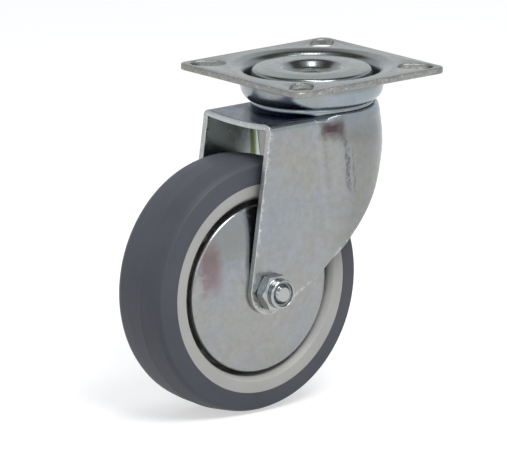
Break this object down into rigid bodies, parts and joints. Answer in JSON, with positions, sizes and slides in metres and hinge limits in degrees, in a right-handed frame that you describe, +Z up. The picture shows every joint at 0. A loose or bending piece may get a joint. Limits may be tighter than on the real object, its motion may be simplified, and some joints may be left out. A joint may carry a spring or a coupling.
{
  "type": "swivel castor",
  "caption": "Swivel castor with a square slotted top plate, a pressed zinc-plated fork and a soft grey-tyred wheel on a bolted axle.",
  "frame": {"origin": "on the swivel axis, in the plane of the plate's flat top face", "axes": "+Z up out of the plate's top face, X along the fork with the wheel trailing towards -X, Y along the axle with the nut on the -Y side"},
  "size_m": [0.1253, 0.0746, 0.1305],
  "materials": {
    "zinc_sheet": "bright zinc plate with a faint blue tint",
    "zinc_fastener": "bright zinc plate",
    "ball_steel": "polished",
    "bearing_steel": "ground",
    "tread": "satin blue-grey",
    "core_plastic": "satin light warm grey",
    "nylon": "matt"
  },
  "bodies": {
    "base": {"top_plate": "zinc_sheet"},
    "swivel_frame": {"fork": "zinc_sheet", "race_cap": "zinc_sheet", "king_pin": "zinc_sheet", "dust_ring": "zinc_sheet", "thread_guard_near": "zinc_sheet", "thread_guard_far": "zinc_sheet", "axle_bolt": "zinc_fastener", "axle_nut": "zinc_fastener", "nut_insert": "nylon", "spacer_tube": "zinc_fastener", "end_bush_near": "zinc_fastener", "end_bush_far": "zinc_fastener", "bearing_inner_near": "bearing_steel", "bearing_inner_far": "bearing_steel"},
    "wheel": {"tyre": "tread", "wheel_core": "core_plastic", "bearing_outer_near": "bearing_steel", "bearing_outer_far": "bearing_steel", "bearing_shields_near": "bearing_steel", "bearing_shields_far": "bearing_steel"},
    "upper_race_balls": {"upper_balls": "ball_steel"},
    "lower_race_balls": {"lower_balls": "ball_steel"},
    "wheel_bearing_balls": {"bearing_balls_near": "ball_steel", "bearing_balls_far": "ball_steel"}
  },
  "joints": [
    {"name": "swivel", "type": "hinge", "parent": "base", "child": "swivel_frame", "pos_m": [0, 0, 0], "axis": [0, 0, 1], "continuous": true},
    {"name": "wheel_spin", "type": "hinge", "parent": "swivel_frame", "child": "wheel", "pos_m": [-0.038, 0, -0.0805], "axis": [0, 1, 0], "continuous": true},
    {"name": "upper_balls_roll", "type": "hinge", "parent": "base", "child": "upper_race_balls", "pos_m": [0, 0, -0.00648], "axis": [0, 0, 1], "continuous": true},
    {"name": "lower_balls_roll", "type": "hinge", "parent": "base", "child": "lower_race_balls", "pos_m": [0, 0, -0.01454], "axis": [0, 0, 1], "continuous": true},
    {"name": "bearing_balls_roll", "type": "hinge", "parent": "swivel_frame", "child": "wheel_bearing_balls", "pos_m": [-0.038, 0, -0.0805], "axis": [0, 1, 0], "continuous": true}
  ],
  "couplings": [
    {"joint": "upper_balls_roll", "follows": "swivel", "ratio": 0.5},
    {"joint": "lower_balls_roll", "follows": "swivel", "ratio": 0.5},
    {"joint": "bearing_balls_roll", "follows": "wheel_spin", "ratio": 0.625}
  ]
}
